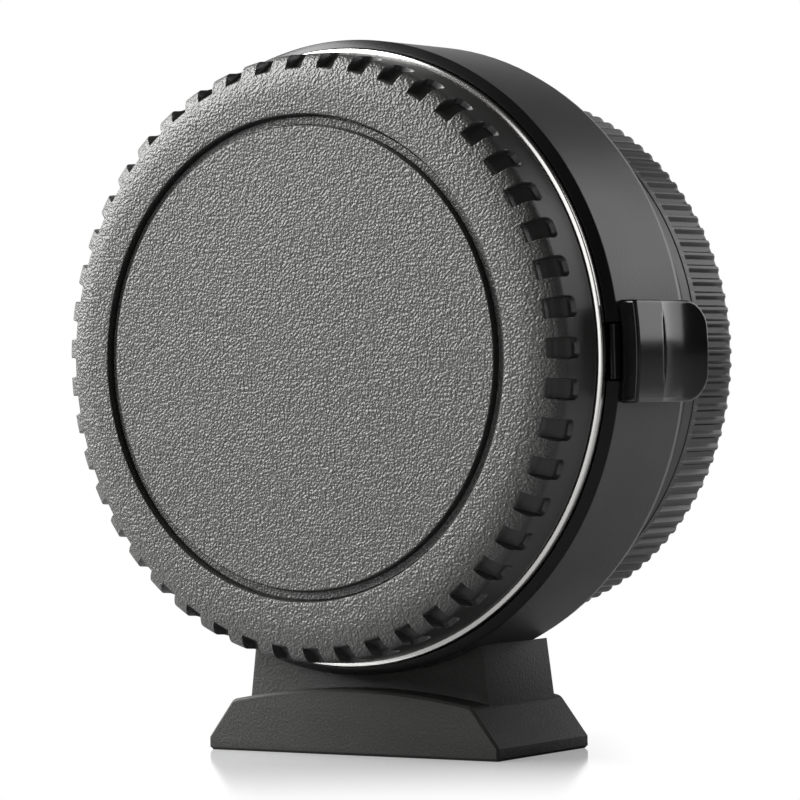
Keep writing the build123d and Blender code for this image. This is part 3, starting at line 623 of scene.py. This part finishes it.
# Front cap: one black moulding. Its face and the fronts of its rim's teeth have a leathery grain,
# the sides are smooth, and a stepped groove rings the face. Bayonet tabs hold it on the lens mount.
cap_low, cap_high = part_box("front_cap")
cap_front_y = cap_low.y
cap_rim_radius = cap_high.x
cap_rim_y = ring_front - 0.23 * mm
cap_draft = 0.35 * mm
cap_notch_count = 48
cap_notch_turn = radians(0.75)
cap_notch_half_width = 1.025 * mm
cap_notch_length = 3.9 * mm
cap_notch_corner = 0.7 * mm


def cap_profile():
    """Half section of the cap's outside, from the face's rim to the rear rim: (radius, y, grain)."""
    side_radius = cap_rim_radius - cap_draft
    shoulder, width, fullness = 2.15 * mm, 4.4 * mm, 1.03
    centre = side_radius - width
    points = []
    for i in range(15):
        turn = radians(90) * i / 14
        grain = max(0.0, 1 - max(0, i - 9) / 4)
        points.append((centre + width * sin(turn) ** fullness,
                       cap_front_y + shoulder * (1 - max(cos(turn), 0) ** fullness), grain))
    side_levels = (2.4, 2.7, 2.95, 3.15, 3.3, 3.42, 3.52, 3.6, 3.68, 3.75, 3.81, 3.86, 3.91, 3.96, 4.02, 4.1,
                   4.4, 5.4, 6.5)
    for y in side_levels:
        back = (y * mm - shoulder) / (cap_rim_y - cap_front_y - shoulder)
        points.append((side_radius + cap_draft * back, cap_front_y + y * mm, 0.0))
    edge = 0.2 * mm
    for i in range(4):
        turn = radians(90) * i / 3
        points.append((cap_rim_radius - edge * (1 - cos(turn)), cap_rim_y - edge * (1 - sin(turn)), 0.0))
    return points


def notch_share(across, back):
    """How far a point of the rim lies in a notch, from 0 outside to 1 on its floor."""
    soft = 0.13 * mm
    over_side = abs(across) - cap_notch_half_width + cap_notch_corner
    over_end = back - cap_notch_length + cap_notch_corner
    past_corner = hypot(max(over_side, 0), max(over_end, 0))
    outside = past_corner + min(max(over_side, over_end), 0) - cap_notch_corner
    share = min(max(0.5 - outside / soft, 0), 1)
    return share * share * (3 - 2 * share)


def notch_floor(back):
    """Radius of a notch's floor, which rises towards the cap's rear."""
    share = min(max((back - 1.2 * mm) / (2.4 * mm), 0), 1)
    return cap_rim_radius - cap_draft - (1.55 - 1.1 * share * share * (3 - 2 * share)) * mm


def fan(mesh, fine, coarse):
    """Join a row of many points to one of few, whose points lie on every n-th of the many."""
    step = (len(fine) - 1) // (len(coarse) - 1)
    for i in range(len(coarse) - 1):
        mesh.faces.new((*fine[i * step:(i + 1) * step + 1], coarse[i + 1], coarse[i]))


def cap_wedge():
    """One tooth's share of the cap, from the middle of its face to the inside, about the y axis."""
    pitch = 2 * pi / cap_notch_count
    half_arc = pitch / 2 * 31.5 * mm
    spread = (0.0, 0.3, 0.5, 0.66, 0.78, 0.86, 0.92, 0.97, 1.02, 1.07, 1.13, 1.2, 1.35, 1.7)
    right = [step * mm for step in spread]
    columns = [-half_arc, *(-step for step in reversed(right[1:])), *right, half_arc]
    mesh = bmesh.new()
    grain_layer = mesh.verts.layers.float.new("grain")

    def vertex(radius, turn, y, grain):
        made = mesh.verts.new((radius * cos(turn), y, radius * sin(turn)))
        made[grain_layer] = grain
        return made

    def row(radius, y, grain, turns):
        return [vertex(radius, turn, y, grain) for turn in turns]

    fine_turns = [cap_notch_turn + across / half_arc * pitch / 2 for across in columns]
    coarse_turns = fine_turns[::(len(fine_turns) - 1) // 4]
    groove_in, groove_out, soft = 24.54 * mm, 25.65 * mm, 0.14 * mm
    step_in, step_out = groove_in + 0.12 * mm, groove_out - 0.26 * mm
    floor_y, inner_y, outer_y = (cap_front_y + depth * mm for depth in (0.72, 0.95, 1.2))
    face = [(16 * mm, cap_front_y, 1.0), (groove_in - 2 * soft, cap_front_y, 1.0),
            (groove_in - soft, cap_front_y, 1.0), (groove_in - 0.3 * soft, cap_front_y + 0.3 * soft, 0.4),
            (groove_in, cap_front_y + soft, 0.0), (groove_in, inner_y, 0.0), (step_in, inner_y, 0.0),
            (step_in, floor_y, 0.6), (step_out, floor_y, 0.6), (step_out, outer_y, 0.0),
            (groove_out, outer_y, 0.0), (groove_out, cap_front_y + soft, 0.0),
            (groove_out + 0.3 * soft, cap_front_y + 0.3 * soft, 0.4), (groove_out + soft, cap_front_y, 1.0),
            (groove_out + 4 * soft, cap_front_y, 1.0)]
    rows = [row(*spot, coarse_turns) for spot in face]
    middle = vertex(0, 0, cap_front_y, 1.0)
    for first, second in zip(rows[0], rows[0][1:]):
        mesh.faces.new((middle, first, second))
    skin(mesh, list(reversed(rows)))
    rim = []
    for radius, y, grain in cap_profile():
        room = max(radius - notch_floor(y - cap_front_y), 0)
        depths = [room * notch_share(across, y - cap_front_y) for across in columns]
        rim.append([vertex(radius - depth, turn, y, grain * (1 - min(depth / (0.2 * mm), 1)))
                    for depth, turn in zip(depths, fine_turns)])
    fan(mesh, list(reversed(rim[0])), list(reversed(rows[-1])))
    skin(mesh, list(reversed(rim)))
    skirt_inner, plate_y = 29.9 * mm, cap_front_y + 2.0 * mm
    bayonet_outer, bayonet_inner = 26.4 * mm, 24.6 * mm
    back = [(skirt_inner, cap_rim_y), (skirt_inner, plate_y), (bayonet_outer, plate_y),
            (bayonet_outer, cap_high.y), (bayonet_inner, cap_high.y), (bayonet_inner, plate_y)]
    back_rows = [row(*spot, 0.0, coarse_turns) for spot in back]
    fan(mesh, rim[-1], back_rows[0])
    skin(mesh, back_rows)
    centre = vertex(0, 0, plate_y, 0.0)
    for first, second in zip(back_rows[-1], back_rows[-1][1:]):
        mesh.faces.new((centre, second, first))
    return mesh


def grained_moulding():
    """Black moulding: leathery grain where the piece's grain attribute is 1, smooth elsewhere."""
    pebble_size, grain_depth = 0.26 * mm, 0.22 * mm
    dark, light = (0.030, 0.0296, 0.0285), (0.076, 0.0752, 0.0722)
    material, shader, wire = new_finish("grained_cap_moulding", {"IOR": 1.5})
    place = object_place(wire)
    grain = wire.node("ShaderNodeAttribute", {"attribute_name": "grain"}, {}, "Fac")
    pebble = wire.node("ShaderNodeTexNoise", {}, {"Vector": place, "Scale": 1 / pebble_size, "Detail": 0.5,
                                                  "Distortion": 0.3})
    swirl = noise(wire, place, 0.6 * mm, 1.0)
    fine = noise(wire, place, 0.1 * mm, 1.0)
    leather = pebble * 0.8 + swirl * 0.4
    relief = leather * grain + fine * 0.03
    bump = wire.node("ShaderNodeBump", {}, {"Height": relief, "Distance": grain_depth, "Strength": 1.0})
    wire.set(shader.inputs["Base Color"], tint(wire, leather * grain, dark, light))
    wire.set(shader.inputs["Roughness"], 0.35 + grain * 0.05)
    wire.set(shader.inputs["Normal"], bump)
    return material


cap_moulding = grained_moulding()
cap_piece = ring_of("front_cap_moulding", cap_wedge(), cap_notch_count, cap_moulding)
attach(cap_piece, "lens_cap")
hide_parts("front_cap")
cap_tab = arc_tab(26.3 * mm, 27.7 * mm, cap_high.y - 1.3 * mm, cap_high.y, middle=0, half=24)
cap_tabs = ring_of("front_cap_tabs", cap_tab, 3, cap_moulding)
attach(cap_tabs, "lens_cap")


# Rear cap: one black moulding with a plain collar, a ribbed grip and a flat recessed end.
# It turns on to the camera mount's bayonet, which its three tabs grip.
rear_low, rear_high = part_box("rear_cap")
rib_count = 120


def rib_wedge():
    """One rib's share of the rear cap, about the y axis."""
    pitch = 2 * pi / rib_count
    collar, valley = rear_high.x, rear_high.x - 0.45 * mm
    front_y, end_y, edge = rear_low.y - 0.16 * mm, rear_high.y, 0.95 * mm
    rib_start, rib_end = rear_low.y + 0.9 * mm, end_y - edge
    mesh = bmesh.new()

    def vertex(radius, turn, y):
        return mesh.verts.new((radius * cos(turn), y, radius * sin(turn)))

    half = (0.0, 0.07, 0.095, 0.12, 0.2, 0.28, 0.305, 0.5)
    shares = [-share for share in reversed(half[1:])] + list(half)
    fine_turns = [pitch * share for share in shares]
    coarse_turns = [fine_turns[0], fine_turns[len(half) - 1], fine_turns[-1]]

    def rise(share):
        """Rib with a wide valley, steep flanks and a softly crowned top."""
        flank = min(max((0.3 - abs(share)) / 0.2, 0), 1)
        return (collar - valley) * (flank - (share / 0.6) ** 2 * flank)

    profile = [(collar, front_y + 0.15 * mm, None), (collar, rib_start - 0.03 * mm, None),
               (valley, rib_start + 0.04 * mm, 1.0), (valley, rib_start + 0.3 * mm, 1.0),
               (valley, rib_end - 0.7 * mm, 1.0), (valley, rib_end - 0.3 * mm, 0.92), (valley, rib_end, 0.7)]
    for i in range(1, 7):
        turn = radians(90) * i / 6
        swell = 0.7 * max(0, 1 - i / 4)
        profile.append((valley - edge * (1 - cos(turn)), rib_end + edge * sin(turn), swell))
    rows = [[vertex(radius if swell is None else radius + rise(share) * swell, turn, y)
             for share, turn in zip(shares, fine_turns)] for radius, y, swell in profile]
    skin(mesh, list(reversed(rows)))
    inner_wall, plate_y, ring_outer, ring_inner = 27.55 * mm, end_y - 1.6 * mm, 23.1 * mm, 21.3 * mm
    recess, recess_y = 24.0 * mm, end_y - 0.5 * mm
    rear = [[vertex(radius, turn, y) for turn in coarse_turns]
            for radius, y in ((recess + 0.1 * mm, end_y), (recess, end_y - 0.1 * mm), (recess, recess_y))]
    front = [[vertex(radius, turn, y) for turn in coarse_turns]
             for radius, y in ((collar - 0.15 * mm, front_y), (inner_wall, front_y), (inner_wall, plate_y),
                               (ring_outer, plate_y), (ring_outer, front_y), (ring_inner, front_y),
                               (ring_inner, plate_y))]
    fan(mesh, rows[-1], rear[0])
    fan(mesh, list(reversed(rows[0])), list(reversed(front[0])))
    skin(mesh, list(reversed(rear)))
    skin(mesh, front)
    rear_middle, front_middle = vertex(0, 0, recess_y), vertex(0, 0, plate_y)
    for i in range(len(coarse_turns) - 1):
        mesh.faces.new((rear_middle, rear[-1][i + 1], rear[-1][i]))
        mesh.faces.new((front_middle, front[-1][i], front[-1][i + 1]))
    return mesh


rear_moulding = moulded_plastic("ribbed_cap_moulding", (0.010, 0.010, 0.0098), (0.017, 0.017, 0.0164),
                                grain_size=0.25 * mm, grain_depth=0.008 * mm, roughness=0.38)
rear_piece = ring_of("rear_cap_moulding", rib_wedge(), rib_count, rear_moulding)
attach(rear_piece, "camera_cap")
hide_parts("rear_cap")
rear_tab = arc_tab(19.4 * mm, 21.4 * mm, rear_low.y, rear_low.y + 3.05 * mm, middle=90, half=20)
rear_tabs = ring_of("rear_cap_tabs", rear_tab, 3, rear_moulding)
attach(rear_tabs, "camera_cap")


# Studio: a white sweep behind and below and a dim room in front. A large soft box stands at the upper left,
# a small one in front, a card at the right and one more soft box behind at the right.
# The camera stands level with the adapter, a tenth of a turn to its right.
view_turn = radians(34.53)
view_rise = radians(0.2)
view_roll = radians(-1.10)
camera_place = Vector((246.18, -356.03, 39.39)) * mm
backward = Vector((sin(view_turn) * cos(view_rise), -cos(view_turn) * cos(view_rise), sin(view_rise)))
level = Vector((cos(view_turn), sin(view_turn), 0))
upward = backward.cross(level)
camera_data = bpy.data.cameras.new("camera")
camera_data.lens = 179.2
camera_data.sensor_width = 36.0
camera = bpy.data.objects.new("camera", camera_data)
bpy.context.scene.collection.objects.link(camera)
side = level * cos(view_roll) + upward * sin(view_roll)
top = upward * cos(view_roll) - level * sin(view_roll)
camera.matrix_world = Matrix.Translation(camera_place) @ Matrix((side, top, backward)).transposed().to_4x4()
bpy.context.scene.camera = camera


def soft_box(name, turn, rise, distance, width, height, radiance):
    """Area lamp that faces the adapter, at a turn to the right of the front and a rise, in degrees."""
    data = bpy.data.lights.new(name, "AREA")
    data.shape = "RECTANGLE"
    data.size = width
    data.size_y = height
    data.energy = radiance * pi * width * height
    lamp = bpy.data.objects.new(name, data)
    bpy.context.scene.collection.objects.link(lamp)
    turn, rise = radians(turn), radians(rise)
    out = Vector((sin(turn) * cos(rise), -cos(turn) * cos(rise), sin(rise)))
    lamp.location = out * distance + Vector((0, 0, axis_height))
    lamp.rotation_euler = out.to_track_quat("Z", "Y").to_euler()


soft_box("left_soft_box", -66, 34, 0.7, 0.71, 0.68, 11.9)
soft_box("front_soft_box", 4, 15, 0.8, 0.34, 0.52, 1.5)
soft_box("right_card", 96, 12, 0.8, 0.253, 0.46, 0.45)
soft_box("right_soft_box", 156.5, 18, 0.8, 0.45, 0.45, 1.95)

floor_mesh = bpy.data.meshes.new("floor")
reach, below = 6.0, -0.01 * mm
floor_corners = [(x * reach, y * reach, below) for x, y in ((-1, -1), (1, -1), (1, 1), (-1, 1))]
floor_mesh.from_pydata(floor_corners, [], [(0, 1, 2, 3)])
floor = bpy.data.objects.new("floor", floor_mesh)
bpy.context.scene.collection.objects.link(floor)
floor_look = {"Base Color": (0.3, 0.3, 0.305, 1), "Roughness": 0.12}
floor_material, floor_shader, floor_wire = new_finish("white_floor", floor_look)
floor_place = object_place(floor_wire)


def floor_fade(heading, near, end):
    """Runs from 0 to 1 along a heading on the floor."""
    along = floor_wire.node("ShaderNodeVectorMath", {"operation": "DOT_PRODUCT"},
                            {0: floor_place, 1: heading}, "Value")
    return floor_wire.node("ShaderNodeMapRange", {"interpolation_type": "SMOOTHSTEP"},
                           {"Value": along, "From Min": near, "From Max": end, "To Min": 0.0, "To Max": 1.0})


far = floor_wire.math("MAXIMUM", floor_fade(level, 20 * mm, 26 * mm), floor_fade(-level, 20 * mm, 26 * mm))
far = floor_wire.math("MAXIMUM", far, floor_fade(backward, 14 * mm, 60 * mm))
far = floor_wire.math("MAXIMUM", far, floor_fade(-backward, 14 * mm, 24 * mm))
glow_strength, mirrored_share = 0.32, 0.16
seen_direct = floor_wire.node("ShaderNodeLightPath", {}, {}, "Is Camera Ray")
seen_mirrored = Wire(floor_material.node_tree, seen_direct.socket.node.outputs["Is Glossy Ray"])
glow = floor_wire.node("ShaderNodeEmission", {},
                       {"Color": (1, 1, 1, 1), "Strength": seen_direct * glow_strength})
matt_paper = Wire(floor_material.node_tree, floor_shader.outputs[0])
paper = floor_wire.node("ShaderNodeAddShader", {}, {0: matt_paper, 1: glow})
white = floor_wire.node("ShaderNodeEmission", {}, {"Color": (1, 1, 1, 1), "Strength": 1.0})
white_share = far * (seen_direct + seen_mirrored * mirrored_share)
surface = floor_wire.node("ShaderNodeMixShader", {}, {0: white_share, 1: paper, 2: white})
floor_wire.set(floor_material.node_tree.nodes["Material Output"].inputs["Surface"], surface)
floor_mesh.materials.append(floor_material)

world = bpy.data.worlds.new("white_sweep")
bpy.context.scene.world = world
world.use_nodes = True
air = Wire(world.node_tree)
direction = air.node("ShaderNodeTexCoord", {}, {}, "Generated")
behind = air.node("ShaderNodeVectorMath", {"operation": "DOT_PRODUCT"}, {0: direction, 1: -backward}, "Value")
height = air.node("ShaderNodeSeparateXYZ", {}, {0: direction}, "Z")
sweep = air.node("ShaderNodeMapRange", {"interpolation_type": "SMOOTHSTEP"},
                 {"Value": behind, "From Min": 0.45, "From Max": 0.8, "To Min": 0.0, "To Max": 1.0})
low_part = air.node("ShaderNodeMapRange", {"interpolation_type": "SMOOTHSTEP"},
                    {"Value": height, "From Min": 0.2, "From Max": 0.6, "To Min": 1.0, "To Max": 0.0})
rays = air.node("ShaderNodeLightPath", {}, {}, "Is Camera Ray")
glossy = Wire(world.node_tree, rays.socket.node.outputs["Is Glossy Ray"])
through = Wire(world.node_tree, rays.socket.node.outputs["Is Transmission Ray"])
room = 0.06 + sweep * low_part * 0.94
mirrored = air.math("MAXIMUM", glossy, through)
strength = rays + (1 - rays) * (mirrored * room + (1 - mirrored) * (room * 0.5 + 0.06))
sky = air.node("ShaderNodeBackground", {}, {"Color": (1, 1, 1, 1), "Strength": strength})
air.set(world.node_tree.nodes["World Output"].inputs["Surface"], sky)

bpy.context.scene.view_settings.view_transform = "Standard"
